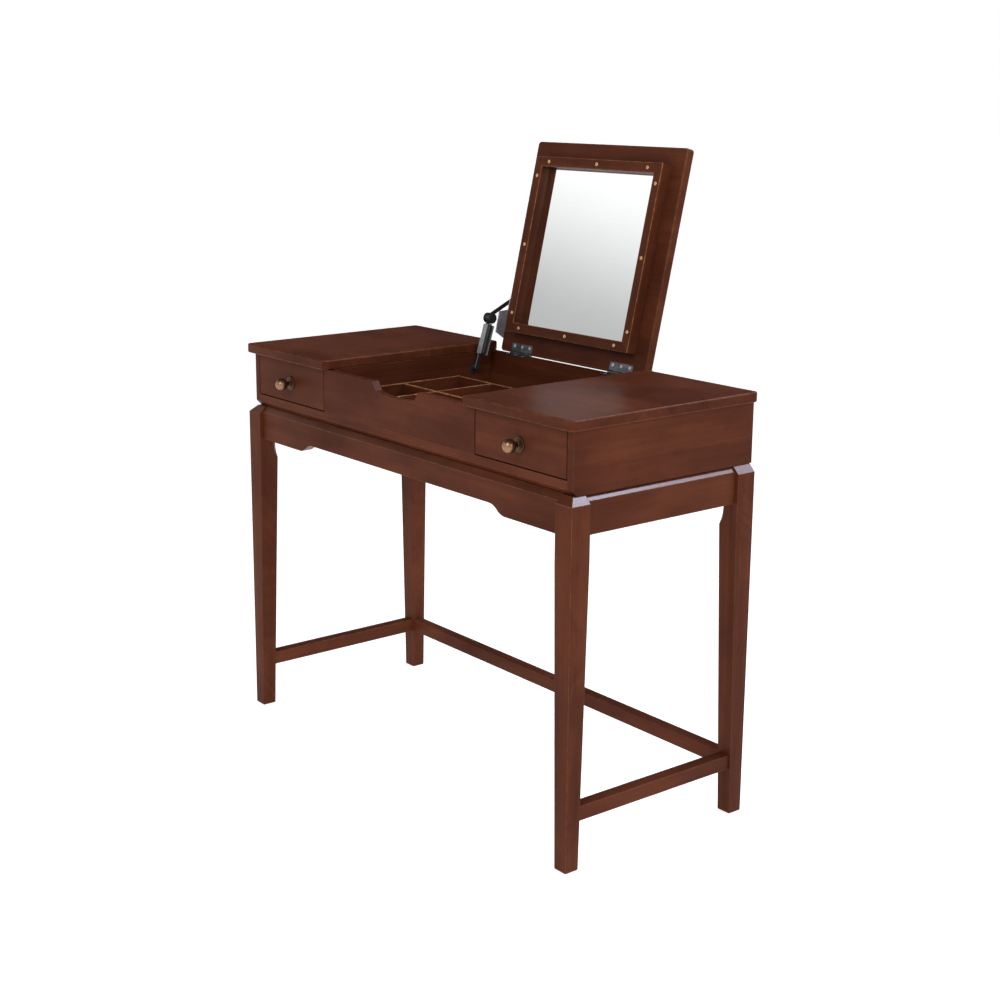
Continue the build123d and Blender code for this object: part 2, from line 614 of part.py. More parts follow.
def make_hinges():
    """Both butt hinges: fixed leaves and pins, then the leaves that turn with the lid."""
    spots = (-HINGE_X, HINGE_X)
    fixed_z = (WELL_RIM_Z - LEAF_T, WELL_RIM_Z)
    moving_z = (TOP_Z, TOP_Z + LEAF_T)
    down = [Pos(x, y, WELL_RIM_Z) * wood_screw(*LEAF_SCREW) for x, y in leaf_screw_spots()]
    up = [Pos(x, y, TOP_Z) * Rot(180, 0, 0) * wood_screw(*LEAF_SCREW) for x, y in leaf_screw_spots()]
    fixed = [make_leaf(x, fixed_z, range(0, KNUCKLES, 2)) for x in spots]
    moving = [make_leaf(x, moving_z, range(1, KNUCKLES, 2)) for x in spots]
    pins = [rod("X", (HINGE_Y, HINGE_Z), PIN_R, x - LEAF_L / 2, x + LEAF_L / 2) for x in spots]
    fixed_screws, moving_screws = group(down), group(up)
    still = {
        "hinge_fixed_leaves": group([leaf - fixed_screws for leaf in fixed]),
        "hinge_pins": group(pins),
        "hinge_fixed_screws": fixed_screws,
    }
    turning = {
        "hinge_lid_leaves": group([leaf - moving_screws for leaf in moving]),
        "hinge_lid_screws": moving_screws,
    }
    return still, turning, up


def make_lid_panel(holes):
    panel = board((-LID_HALF_W, LID_HALF_W), (LID_FRONT_Y, LID_REAR_Y), (TOP_Z, TABLE_H))
    panel = fillet(panel.edges().filter_by(Axis.Z), LID_CORNER_R)
    rims = panel.faces().sort_by(Axis.Z)
    panel = fillet(rims[0].edges() + rims[-1].edges(), TOP_EASE)
    for cutter in [*leaf_seat((TOP_Z, TOP_Z + LEAF_T)), *knuckle_notches(), *holes]:
        panel -= cutter
    return panel


# --- lid stay --------------------------------------------------------------------------------------
def link(start, end, width, x):
    """A flat arm with round ends between two pivots, given as (Y, Z)."""
    middle = Pos((start[0] + end[0]) / 2, (start[1] + end[1]) / 2)
    run, climb = end[0] - start[0], end[1] - start[1]
    slope = Rot(0, 0, degrees(atan2(climb, run)))
    face = Plane.YZ.offset(x[0]) * middle * slope * SlotCenterToCenter(sqrt(run**2 + climb**2), width)
    return extrude(face, x[1] - x[0])


def make_lid_bracket():
    """Plate on the lid's left edge, with a tab that stands out below the lid, and the lid pivot."""
    pivot = (HINGE_Y - STAY_ARM, HINGE_Z + STAY_LID_RISE)
    root, tip = STAY_TAB_ROOT, STAY_TAB_TIP
    tail = (HINGE_Y - root[0] - 6.5, pivot[1])
    plate = link(tail, pivot, 13.0, STAY_LID_PLATE)
    low = HINGE_Z - STAY_TAB_DROP
    tab = [(HINGE_Y - root[0], pivot[1]), (HINGE_Y - root[1], pivot[1]), (HINGE_Y - tip[1], low),
           (HINGE_Y - tip[0], low)]
    pin = rod("X", pivot, STAY_PIN_R, STAY_UPPER_X[0], STAY_LID_PLATE[0])
    return plate + along_x(tab, STAY_LID_PLATE) + pin


def make_lower_arm(wall_pivot):
    """Lower arm, drawn for the closed lid: a flat bar with an open channel along its middle."""
    knuckle = (wall_pivot[0] - STAY_ARM, wall_pivot[1] + STAY_LID_RISE)
    arm = link(wall_pivot, knuckle, STAY_BAR_W, STAY_LOWER_X)
    length = sqrt(STAY_ARM**2 + STAY_LID_RISE**2)
    slope = degrees(atan2(STAY_LID_RISE, -STAY_ARM))
    lay = Pos(0, wall_pivot[0], wall_pivot[1]) * Rot(slope, 0, 0)
    half = STAY_CHANNEL_W / 2
    hollow_x = (STAY_CHANNEL_X[0] + STAY_CHANNEL_WALL, STAY_CHANNEL_X[1])
    channel = board(STAY_CHANNEL_X, STAY_CHANNEL, (-half, half))
    channel -= board(hollow_x, STAY_CHANNEL, (-half + STAY_CHANNEL_WALL, half - STAY_CHANNEL_WALL))
    rod_x = sum(STAY_CHANNEL_X) / 2 + STAY_CHANNEL_WALL
    piston = rod("Y", (rod_x, 0), STAY_ROD_R, STAY_CHANNEL[0] + 3, length - STAY_HUB_R - 0.5)
    arm = arm + lay * channel - rod("X", wall_pivot, STAY_PIN_R + PIN_FIT, *STAY_CHANNEL_X)
    hub = rod("X", knuckle, STAY_HUB_R, STAY_UPPER_X[1] + 0.3, STAY_LOWER_X[0])
    hub += rod("X", knuckle, STAY_HUB_R, STAY_LOWER_X[1], STAY_CHANNEL_X[1])
    hub += rod("X", knuckle, STAY_PIN_R, STAY_UPPER_X[0], STAY_CHANNEL_X[1])
    arm -= rod("X", knuckle, STAY_PIN_R, *STAY_CHANNEL_X)
    return {"stay_lower_arm": arm, "stay_hub": hub, "stay_spring_rod": lay * piston}


def make_stay():
    """Everything of the stay but its lid bracket, standing as it does with the lid raised."""
    wall_pivot = (HINGE_Y - STAY_FORWARD, HINGE_Z - STAY_DROP)
    knuckle = lid_point(STAY_ARM, STAY_LID_RISE)
    knuckle = (knuckle[0] - STAY_FORWARD, knuckle[1] - STAY_DROP)
    lid_pivot = lid_point(STAY_ARM, STAY_LID_RISE)
    y, z = wall_pivot
    plate = board(STAY_WALL_PLATE, (y - 9, y + 9), (z - 12, z + 9))
    pin = rod("X", wall_pivot, STAY_PIN_R, STAY_WALL_PLATE[1], STAY_LOWER_X[1] + 1.5)
    collar = rod("X", wall_pivot, 6.0, STAY_WALL_PLATE[1], STAY_LOWER_X[0] - 0.3)
    head = rod("X", wall_pivot, 4.5, STAY_LOWER_X[1] + 0.3, STAY_LOWER_X[1] + 2.0)
    upper = link(knuckle, lid_pivot, STAY_UPPER_W, STAY_UPPER_X)
    upper -= rod("X", knuckle, STAY_PIN_R + PIN_FIT, -HALF_W, 0)
    upper -= rod("X", lid_pivot, STAY_PIN_R + STAY_LOOSE_FIT, -HALF_W, 0)
    turn = Rot(-LID_OPEN_DEG, 0, 0)
    about_pivot = Pos(0, y, z) * turn * Pos(0, -y, -z)
    nodes = {name: about_pivot * shape for name, shape in make_lower_arm(wall_pivot).items()}
    nodes["stay_wall_bracket"] = plate + pin + collar + head
    nodes["stay_upper_arm"] = upper
    return nodes


def raised(shape):
    """A piece of the lid, drawn closed, turned about the hinge axis to where it stands open."""
    return Pos(0, HINGE_Y, HINGE_Z) * Rot(-LID_OPEN_DEG, 0, 0) * Pos(0, -HINGE_Y, -HINGE_Z) * shape


def make_lid():
    still, turning, leaf_screws = make_hinges()
    screws = moulding_screws()
    glass = make_glass()
    closed = {"lid_panel": make_lid_panel([*leaf_screws, *screws]), "mirror_glass": glass}
    closed.update(make_moulding(glass, screws))
    closed["moulding_screws"] = group(screws)
    closed.update(turning)
    closed["stay_lid_bracket"] = make_lid_bracket()
    nodes = {name: raised(shape) for name, shape in closed.items()}
    nodes.update(still)
    return nodes


def in_own_frame(shape):
    """The shape moved from the bench frame to the part's own frame, ready to export."""
    solids = [Pos(0, -ORIGIN_Y, 0) * solid for solid in shape.solids()]
    return solids[0] if len(solids) == 1 else Compound(solids)


def main():
    nodes = {**make_base(), **make_case(), **make_dividers(), **make_drawers(), **make_lid(), **make_stay()}
    os.makedirs("parts", exist_ok=True)
    for name, shape in nodes.items():
        export_step(in_own_frame(shape), f"parts/{name}.step")
    wall_pivot = (HINGE_Y - STAY_FORWARD - ORIGIN_Y, HINGE_Z - STAY_DROP)
    knuckle = lid_point(STAY_ARM, STAY_LID_RISE)
    knuckle = (knuckle[0] - STAY_FORWARD - ORIGIN_Y, knuckle[1] - STAY_DROP)
    print("nodes", len(nodes), "origin Y", round(ORIGIN_Y, 6))
    print("hinge axis (Y, Z)", round(HINGE_Y - ORIGIN_Y, 3), HINGE_Z)
    print("stay wall pivot", wall_pivot, "stay knuckle", knuckle)


main()
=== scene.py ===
"""Vanity table with a lift-up mirror lid: finishes, eased edges, turned knobs, screws and a plain studio."""

import json
import zlib
from math import asin, cos, hypot, pi, radians, sin

import bmesh
import bpy
from bpy.props import FloatProperty, FloatVectorProperty, IntProperty, PointerProperty
from bpy.types import Operator, Panel, PropertyGroup
from mathutils import Matrix, Vector


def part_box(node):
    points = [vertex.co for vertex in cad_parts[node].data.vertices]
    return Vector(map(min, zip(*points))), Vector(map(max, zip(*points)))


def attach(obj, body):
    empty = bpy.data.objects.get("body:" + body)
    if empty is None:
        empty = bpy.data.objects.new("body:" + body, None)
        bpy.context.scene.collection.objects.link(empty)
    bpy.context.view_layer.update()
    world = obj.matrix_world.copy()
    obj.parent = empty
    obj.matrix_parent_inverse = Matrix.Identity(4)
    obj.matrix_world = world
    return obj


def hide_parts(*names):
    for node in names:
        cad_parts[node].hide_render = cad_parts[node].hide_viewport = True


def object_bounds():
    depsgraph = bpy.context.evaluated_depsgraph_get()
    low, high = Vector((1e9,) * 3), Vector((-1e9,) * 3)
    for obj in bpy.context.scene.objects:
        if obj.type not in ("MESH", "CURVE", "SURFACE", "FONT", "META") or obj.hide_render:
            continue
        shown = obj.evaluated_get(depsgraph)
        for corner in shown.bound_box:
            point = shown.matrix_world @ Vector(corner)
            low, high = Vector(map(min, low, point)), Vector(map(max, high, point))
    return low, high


bl_info = {
    "name": "Vanity table finishes",
    "version": (1, 0, 0),
    "blender": (4, 5, 0),
    "location": "3D View > Sidebar > Vanity",
    "description": "Dresses the boards, mirror, knobs, hinges and lid stay of a vanity table",
    "category": "Object",
}

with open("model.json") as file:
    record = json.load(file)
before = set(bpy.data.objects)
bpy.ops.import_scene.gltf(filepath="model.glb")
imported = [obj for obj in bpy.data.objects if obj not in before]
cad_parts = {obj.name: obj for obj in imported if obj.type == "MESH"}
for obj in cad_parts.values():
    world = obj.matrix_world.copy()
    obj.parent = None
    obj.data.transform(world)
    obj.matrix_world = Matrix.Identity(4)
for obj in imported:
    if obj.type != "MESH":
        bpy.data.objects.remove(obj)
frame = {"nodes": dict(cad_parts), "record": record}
CAD_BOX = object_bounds()
RECORD = frame["record"]
BODY_OF = {node: body for body, nodes in RECORD["behaviour"]["bodies"].items() for node in nodes}
SLOT_OF = {part["node"]: part["material_slot"] for part in RECORD["subparts"]}
JOINTS = {joint["name"]: joint for joint in RECORD["behaviour"]["joints"]}
LID_TURN = radians(JOINTS["lid"]["range_deg"][1])
SHUT = Matrix.Rotation(LID_TURN, 3, "X")      # turns a direction on the raised lid to the shut lid
RAISE = SHUT.inverted()

ALONG_X = (0, 1, 2)                            # which axes run along, across and through a board's grain
ALONG_Y = (1, 0, 2)
ALONG_Z = (2, 0, 1)
FACING_X = (1, 2, 0)                           # grain along Y in a board that stands on edge, facing X
FACING_Y = (0, 2, 1)                           # grain along X in a board that stands on edge, facing Y

BOARDS = {
    "front_left_leg": ALONG_Z, "front_right_leg": ALONG_Z,
    "back_left_leg": ALONG_Z, "back_right_leg": ALONG_Z,
    "front_apron": FACING_Y, "back_apron": FACING_Y, "left_apron": FACING_X, "right_apron": FACING_X,
    "left_stretcher": FACING_X, "right_stretcher": FACING_X, "back_stretcher": FACING_Y,
    "left_side_panel": FACING_X, "right_side_panel": FACING_X, "front_rail": FACING_Y,
    "front_panel": FACING_Y, "back_panel": FACING_Y, "case_bottom": ALONG_X,
    "left_partition": FACING_X, "right_partition": FACING_X, "left_top": ALONG_X, "right_top": ALONG_X,
    "lid_panel": ALONG_X, "upper_moulding": ALONG_X, "lower_moulding": ALONG_X,
    "left_moulding": ALONG_Y, "right_moulding": ALONG_Y,
    "left_divider": FACING_X, "middle_divider": FACING_X, "cross_divider": FACING_Y, "back_divider": FACING_Y,
    "corner_blocks": ALONG_X, "drawer_runners": FACING_X,
}
for hand in ("left", "right"):
    BOARDS[hand + "_drawer_front"] = FACING_Y
    BOARDS[hand + "_drawer_inner_side"] = FACING_X
    BOARDS[hand + "_drawer_outer_side"] = FACING_X
    BOARDS[hand + "_drawer_back"] = FACING_Y
    BOARDS[hand + "_drawer_bottom"] = ALONG_X

EDGE_WEAR_AND_HIGHLIGHT = 0.8             # how far the rounded edges of the tops, lid and stretchers are painted paler: rubbed stain and painted highlight
MOULDING_WEAR_AND_HIGHLIGHT = 3.4         # the same for the thin edges of the moulding
CHAMFER_SHEEN = 0.42        # extra lacquer on the polished chamfers of the base
DRAWER_EASE = 0.0004        # eased edges, in metres
DIVIDER_EASE = 0.0005
GLASS_EASE = 0.0005
HINGE_EASE = 0.0002
STAY_EASE = 0.0002
ROD_EASE = 0.0004
HUB_EASE = 0.0008
BOLT_EASE = 0.0004
PIN_EASE = 0.0003
MOULDING_SCREW_R = 0.0035   # head radius
HINGE_SCREW_R = 0.0031
SCREW_L = 0.011
SCREW_TIP = 0.0005
HEAD_LEVELS = (             # radius and height of a screw head's rings, as shares of the head radius
    (0.82, -0.3), (0.985, -0.12), (1.0, -0.04), (0.96, 0.0), (0.82, 0.035),
)
HEAD_SEGMENTS = 28
SHANK_SEGMENTS = 12
SHANK_SHARE = 0.42          # a screw's shank radius as a share of its head radius
RECESS_DEPTH = 0.45         # of the head radius
STEM_SHARE = 0.36           # a knob's stem radius as a share of its head radius
ROSE_LIP = 0.0011           # straight edge of the rose under a knob
SHOULDER_W, SHOULDER_H = 0.0012, 0.0014     # the rounding above that edge
ROSE_STEPS = ((0.72, 0.0026), (0.70, 0.0032), (0.52, 0.0034))   # share of the rose radius, height
WAIST_FOOT = 0.0036         # where the knob's stem starts
MERGE = 1e-6                # vertices closer than this are one
LEVEL = 1e-5                # points this close to the highest one lie on its face
SHARP_BEND = radians(25)    # a bend over this is an arris
FLAT_BEND = radians(0.4)    # a bend under this is flat
SMOOTH_BEND = radians(38)   # a bend under this is shaded smooth
SLANT = (0.1, 0.99)         # the upward part of a slanted face's normal

# The wood figure is drawn in a board's own space: stretch along, across and through the board.
DRIFT_SCALE = (1.6, 4.0, 4.0)
FIBRE_SCALE = (16.0, 520.0, 520.0)
STREAK_SCALE = (3.2, 74.0, 74.0)
BLOTCH_SCALE = (5.0, 9.0, 9.0)
PORE_SCALE = (120.0, 2300.0, 2300.0)
RING_SCALE = 310.0
STAINED_WEIGHTS = {"rings": 0.34, "streak": 0.42, "fibre": 0.22, "blotch": 0.95, "piece": 0.18}
PLAIN_WEIGHTS = {"rings": 0.5, "streak": 0.5, "fibre": 0.35, "blotch": 0.5}
PLAIN_STAVE = 0.09

# Softboxes: place from the middle of the table, size, setting for the power, share of it, colour.
SOFTBOXES = {
    "top_light": ((0.6, 1.55, 2.05), (1.3, 0.7), "softbox", 1.0, (0.70, 0.77, 1.0)),
    "front_light": ((0.9, -2.3, 1.9), (1.6, 1.2), "fill", 1.0, (1.0, 0.98, 0.95)),
    "side_light": ((3.2, 0.2, 1.4), (1.4, 1.4), "fill", 0.8, (1.0, 0.98, 0.95)),
}
FLOOR_R = 40.0
CHANNEL_RIM = 0.003         # how far the hollow of the stay's channel lies behind its rim
WINDOW = Vector((0.228, 0.586, 0.777)).normalized()     # the way from the table to the window


# --- settings a user would change ------------------------------------------------------------------
class VanityWoodSettings(PropertyGroup):
    """The stained wood and how its edges are worked."""

    deep: FloatVectorProperty(
        name="Deep stain", description="Colour where the stain lies thickest", subtype="COLOR",
        size=3, min=0.0, max=1.0, default=(0.030, 0.0068, 0.0030),
    )
    body: FloatVectorProperty(
        name="Stain", description="Main colour of the stained wood", subtype="COLOR",
        size=3, min=0.0, max=1.0, default=(0.078, 0.0210, 0.0098),
    )
    warm: FloatVectorProperty(
        name="Warm figure", description="Colour of the paler, redder figure", subtype="COLOR",
        size=3, min=0.0, max=1.0, default=(0.124, 0.036, 0.0155),
    )
    # The paler colour of the arrises stands for rubbed stain and a painted highlight.
    bare_and_highlight: FloatVectorProperty(
        name="Rubbed edge", description="Colour where the stain is rubbed thin on an arris", subtype="COLOR",
        size=3, min=0.0, max=1.0, default=(0.44, 0.2, 0.09),
    )
    stave: FloatProperty(
        name="Stave width", description="Width of the glued staves in a wide board", unit="LENGTH",
        min=0.02, max=0.3, default=0.068,
    )
    leg_ease: FloatProperty(
        name="Leg arris", description="Width of the eased edges on legs, aprons and stretchers",
        unit="LENGTH", min=0.0, max=0.004, default=0.0012,
    )
    case_ease: FloatProperty(
        name="Case arris", description="Width of the eased edges on the case", unit="LENGTH",
        min=0.0, max=0.004, default=0.0005,
    )
    gloss: FloatProperty(
        name="Lacquer roughness", description="Roughness of the lacquer", subtype="FACTOR",
        min=0.02, max=0.9, default=0.36,
    )


class VanityMetalSettings(PropertyGroup):
    """Knobs, hinges, screws and stay."""

    bronze: FloatVectorProperty(
        name="Bronze", description="Rubbed high spots of the knobs", subtype="COLOR",
        size=3, min=0.0, max=1.0, default=(0.30, 0.165, 0.095),
    )
    patina: FloatVectorProperty(
        name="Patina", description="Dark patina in the hollows of the knobs", subtype="COLOR",
        size=3, min=0.0, max=1.0, default=(0.085, 0.04, 0.022),
    )
    brass: FloatVectorProperty(
        name="Brass", description="Heads of the screws in the moulding", subtype="COLOR",
        size=3, min=0.0, max=1.0, default=(0.80, 0.56, 0.30),
    )
    knob_segments: IntProperty(
        name="Knob segments", description="Steps round a turned knob", min=24, max=128, default=72,
    )


class VanityStageSettings(PropertyGroup):
    """Floor, light and camera."""

    floor: FloatVectorProperty(
        name="Floor", description="Colour of the plain floor", subtype="COLOR",
        size=3, min=0.0, max=1.0, default=(0.86, 0.86, 0.86),
    )
    bearing: FloatProperty(
        name="Bearing", description="How far the camera stands round to the right", subtype="ANGLE",
        default=radians(52.98),
    )
    pitch: FloatProperty(
        name="Pitch", description="How far the camera looks down", subtype="ANGLE", default=radians(13.19),
    )
    distance: FloatProperty(
        name="Distance", description="From the camera to the point it looks at", unit="LENGTH",
        default=3.0348,
    )
    aim_height: FloatProperty(
        name="Aim height", description="Height of the point the camera looks at", unit="LENGTH",
        default=0.5781,
    )
    aim_depth: FloatProperty(
        name="Aim depth", description="How far behind the tops' front edge the camera looks", unit="LENGTH",
        default=0.1174,
    )
    lens: FloatProperty(name="Lens", description="Focal length in millimetres", default=59.62)
    shift: FloatVectorProperty(
        name="Shift", description="Lens shift, right and up", size=2, default=(0.059, -0.0316),
    )
    floor_glow: FloatProperty(
        name="Floor glow", description="Light the pale floor gives off by itself, which hides its far edge",
        default=0.68,
    )
    softbox: FloatProperty(
        name="Softbox", description="Power of the light above and behind the table in watts", default=42.0,
    )
    fill: FloatProperty(
        name="Fill", description="Power of the light in front of the table in watts", default=30.0,
    )
    window: FloatProperty(
        name="Window", description="Brightness of the cool window that shows in polished chamfers",
        default=10.5,
    )
    ambient: FloatProperty(
        name="Ambient", description="Brightness of the studio round the table", default=0.66,
    )


# --- shader expressions ----------------------------------------------------------------------------
class Flow:
    """A value or vector that runs through a node tree, written as a Python expression."""

    def __init__(self, tree, socket):
        self.tree = tree
        self.socket = socket

    def joined(self, operation, first, second):
        if "VECTOR" in (kind_of(first), kind_of(second)):
            return self.tree.make("ShaderNodeVectorMath", {"operation": operation}, {0: first, 1: second})[0]
        return self.tree.make("ShaderNodeMath", {"operation": operation}, {0: first, 1: second})[0]

    def __add__(self, other):
        return self.joined("ADD", self, other)

    def __radd__(self, other):
        return self.joined("ADD", other, self)

    def __sub__(self, other):
        return self.joined("SUBTRACT", self, other)

    def __rsub__(self, other):
        return self.joined("SUBTRACT", other, self)

    def __mul__(self, other):
        return self.joined("MULTIPLY", self, other)

    def __rmul__(self, other):
        return self.joined("MULTIPLY", other, self)

    def __truediv__(self, other):
        return self.joined("DIVIDE", self, other)

    def __pow__(self, other):
        return self.joined("POWER", self, other)


def kind_of(value):
    if isinstance(value, Flow):
        return value.socket.type
    return "VECTOR" if isinstance(value, (tuple, Vector)) else "VALUE"


class Tree:
    """A node tree that is filled by expressions."""

    def __init__(self, owner):
        owner.use_nodes = True
        self.nodes = owner.node_tree.nodes
        self.links = owner.node_tree.links
        self.nodes.clear()

    def make(self, kind, settings=None, inputs=None):
        """Adds a node, sets it, then fills or links its sockets. Returns its outputs as flows."""
        node = self.nodes.new(kind)
        for key, value in (settings or {}).items():
            if key == "stops":
                self.set_stops(node.color_ramp, value)
            else:
                setattr(node, key, value)
        for key, value in (inputs or {}).items():
            socket = node.inputs[key]
            if isinstance(value, Flow):
                self.links.new(value.socket, socket)
            else:
                socket.default_value = value
        return [Flow(self, socket) for socket in node.outputs]

    @staticmethod
    def set_stops(ramp, stops):
        while len(ramp.elements) < len(stops):
            ramp.elements.new(1.0)
        for element, (place, colour) in zip(ramp.elements, stops):
            element.position = place
            element.color = (*colour, 1.0)

    def attribute(self, name, output=2):
        """A mesh attribute: output 1 is the vector, 2 is the number."""
        return self.make("ShaderNodeAttribute", {"attribute_name": name})[output]

    def split(self, vector):
        return self.make("ShaderNodeSeparateXYZ", None, {0: vector})

    def join(self, x, y, z):
        return self.make("ShaderNodeCombineXYZ", None, {0: x, 1: y, 2: z})[0]

    def noise(self, vector, scale=1.0, detail=2.0, roughness=0.5):
        settings = {"noise_dimensions": "3D"}
        inputs = {"Vector": vector, "Scale": scale, "Detail": detail, "Roughness": roughness}
        return self.make("ShaderNodeTexNoise", settings, inputs)[0]

    def between(self, value, low, high, new_low=0.0, new_high=1.0):
        """The value mapped smoothly from one range to another, and held at its ends."""
        settings = {"interpolation_type": "SMOOTHSTEP", "clamp": True}
        inputs = {0: value, 1: low, 2: high, 3: new_low, 4: new_high}
        return self.make("ShaderNodeMapRange", settings, inputs)[0]

    def mix(self, factor, first, second):
        """A colour between two colours."""
        settings = {"data_type": "RGBA", "clamp_factor": True}
        node_inputs = {0: factor, 6: as_colour(first), 7: as_colour(second)}
        return self.make("ShaderNodeMix", settings, node_inputs)[2]

    def ramp(self, value, stops):
        return self.make("ShaderNodeValToRGB", {"stops": stops}, {0: value})[0]

    def bump(self, height, strength, distance, under=None):
        inputs = {"Height": height, "Strength": strength, "Distance": distance}
        if under:
            inputs["Normal"] = under
        return self.make("ShaderNodeBump", None, inputs)[0]

    def surface(self, inputs):
        shader = self.make("ShaderNodeBsdfPrincipled", None, inputs)[0]
        self.make("ShaderNodeOutputMaterial", None, {"Surface": shader})


def as_colour(value):
    return value if isinstance(value, Flow) else (*tuple(value)[:3], 1.0)


def new_material(name):
    material = bpy.data.materials.new(name)
    return material, Tree(material)


# --- finishes --------------------------------------------------------------------------------------
def wood_figure(tree, stave):
    """Growth rings, fibres, pores, blotches and glued staves, in a board's own grain space."""
    grain = tree.attribute("grain", 1)
    across, through = tree.split(grain)[1:]
    tone = tree.attribute("tone")
    drift = tree.noise(grain * DRIFT_SCALE, 1.0, 3.0) - 0.5
    stave_number = tree.make("ShaderNodeMath", {"operation": "FLOOR"}, {0: across / stave + tone * 7.0})[0]
    stave_tone = tree.make("ShaderNodeTexWhiteNoise", {"noise_dimensions": "1D"}, {"W": stave_number})[0]
    side = across + drift * 0.03 + stave_tone * 0.21
    depth = through + drift * 0.012 + 0.045
    radius = (side * side + depth * depth) ** 0.5
    ring_inputs = {"W": radius * RING_SCALE, "Detail": 3.0, "Roughness": 0.6}
    rings = tree.make("ShaderNodeTexNoise", {"noise_dimensions": "1D"}, ring_inputs)[0]
    fibre = tree.noise(grain * FIBRE_SCALE, 1.0, 4.0, 0.62)
    streak = tree.noise(grain * STREAK_SCALE, 1.0, 3.0, 0.55)
    blotch = tree.noise(grain * BLOTCH_SCALE, 1.0, 3.0, 0.55)
    pores = tree.between(tree.noise(grain * PORE_SCALE, 1.0, 1.0), 0.60, 0.72)
    return {
        "tone": tone, "piece": stave_tone, "rings": rings, "fibre": fibre, "streak": streak,
        "blotch": blotch, "pores": pores, "grain": grain,
    }


def figure_shade(figure, weights, tone_weight):
    """Where a point lies between the darkest and palest colour, from the weighted parts of the figure."""
    shade = 0.5
    for part, weight in weights.items():
        shade = shade + (figure[part] - 0.5) * weight
    return shade + figure["tone"] * tone_weight


def stained_wood(name, settings, rub_and_highlight=0.16, lacquer=0.02):
    """Dark red-brown stain under lacquer, painted a little paler along the arrises: rubbed stain and a
    painted highlight.
    """
    material, tree = new_material(name)
    figure = wood_figure(tree, settings.stave)
    shade = figure_shade(figure, STAINED_WEIGHTS, 0.06)
    colour = tree.ramp(shade, [
        (0.0, settings.deep), (0.46, settings.body), (0.8, settings.warm), (1.0, settings.warm),
    ])
    colour = tree.mix(figure["pores"] * 0.35, colour, settings.deep)
    # Arrises painted paler in patches: rubbed stain and a painted highlight.
    edge_patches = tree.between(tree.noise(figure["grain"], 85.0, 3.0), 0.4, 0.66)
    wear_and_highlight_mask = tree.attribute("edge") * (0.35 + edge_patches * 0.65) * rub_and_highlight
    colour = tree.mix(wear_and_highlight_mask, colour, settings.bare_and_highlight)
    haze = tree.noise(figure["grain"], 11.0, 4.0)
    roughness = settings.gloss + (haze - 0.5) * 0.16 + (figure["fibre"] - 0.5) * 0.12 + figure["pores"] * 0.12
    relief = tree.bump(1.0 - figure["pores"] * 0.8 + figure["fibre"] * 0.5, 0.16, 0.00025)
    relief = tree.bump(tree.noise(figure["grain"], 150.0, 2.0), 0.05, 0.0006, relief)
    tree.surface({
        "Base Color": colour, "Roughness": roughness, "Normal": relief,
        "Coat Weight": lacquer + tree.attribute("sheen"), "Coat Roughness": 0.2, "IOR": 1.46,
        "Specular IOR Level": 0.035,
    })
    return material


def plain_wood(name):
    """Unstained, sanded wood of the drawer boxes, runners and corner blocks."""
    material, tree = new_material(name)
    figure = wood_figure(tree, PLAIN_STAVE)
    shade = figure_shade(figure, PLAIN_WEIGHTS, 0.08)
    colour = tree.ramp(shade, [
        (0.1, (0.22, 0.115, 0.05)), (0.5, (0.40, 0.24, 0.118)), (0.9, (0.54, 0.36, 0.20)),
    ])
    colour = tree.mix(figure["pores"] * 0.45, colour, (0.16, 0.08, 0.035))
    roughness = 0.62 + (figure["fibre"] - 0.5) * 0.25
    relief = tree.bump(1.0 - figure["pores"] + figure["fibre"] * 0.6, 0.25, 0.0003)
    tree.surface({"Base Color": colour, "Roughness": roughness, "Normal": relief})
    return material


def local_point(tree):
    """The point on the piece itself, so that a finish moves with it."""
    return tree.make("ShaderNodeTexCoord")[3]


def bronze(name, settings):
    """Antique bronze: dark patina, rubbed bright where hands reach."""
    material, tree = new_material(name)
    point = local_point(tree)
    reach = tree.attribute("reach")
    cloud = tree.noise(point, 160.0, 4.0, 0.6)
    rubbed = tree.between(reach + (cloud - 0.5) * 0.7, 0.25, 0.95)
    colour = tree.mix(rubbed, settings.patina, settings.bronze)
    speck = tree.between(tree.noise(point, 900.0, 2.0), 0.62, 0.72)
    colour = tree.mix(speck * 0.5, colour, settings.patina)
    roughness = 0.44 - rubbed * 0.14 + speck * 0.2
    tree.surface({
        "Base Color": colour, "Roughness": roughness, "Metallic": 0.92,
        "Normal": tree.bump(cloud + speck * 0.3, 0.12, 0.0004),
    })
    return material


def worked_metal(name, light, dark, roughness, streaks=(60.0, 900.0, 900.0), metallic=1.0, lustre=0.1):
    """Rolled or plated metal: fine streaks, a few stains, paler edges and a painted shade in the hollow of a
    channel.
    """
    material, tree = new_material(name)
    point = local_point(tree)
    lines = tree.noise(point * streaks, 1.0, 3.0, 0.6)
    stain = tree.noise(point, 70.0, 4.0, 0.6)
    shade = tree.between(lines * 0.45 + stain * 0.55, 0.34, 0.66)
    colour = tree.mix(shade, dark, light)
    colour = tree.mix(tree.attribute("edge") * 0.4, colour, light)
    # Painted shade: the hollow of the stay's channel is painted near black.
    colour = tree.mix(tree.attribute("inside") * 0.93, colour, (0.008, 0.008, 0.009))
    rough = roughness + (stain - 0.5) * 0.22 + (lines - 0.5) * lustre
    tree.surface({
        "Base Color": colour, "Roughness": rough, "Metallic": metallic,
        "Normal": tree.bump(lines, 0.08, 0.0002),
    })
    return material


def silvered_glass(name):
    """A mirror: silvering behind clear glass, with a trace of haze."""
    material, tree = new_material(name)
    haze = tree.noise(local_point(tree), 14.0, 4.0, 0.6)
    rough = tree.between(haze, 0.45, 0.8, 0.004, 0.03)
    tint = tree.mix(haze, (0.90, 0.915, 0.91), (0.94, 0.95, 0.95))
    tree.surface({
        "Base Color": tint, "Roughness": rough, "Metallic": 1.0, "Coat Weight": 0.3, "Coat Roughness": 0.02,
    })
    return material


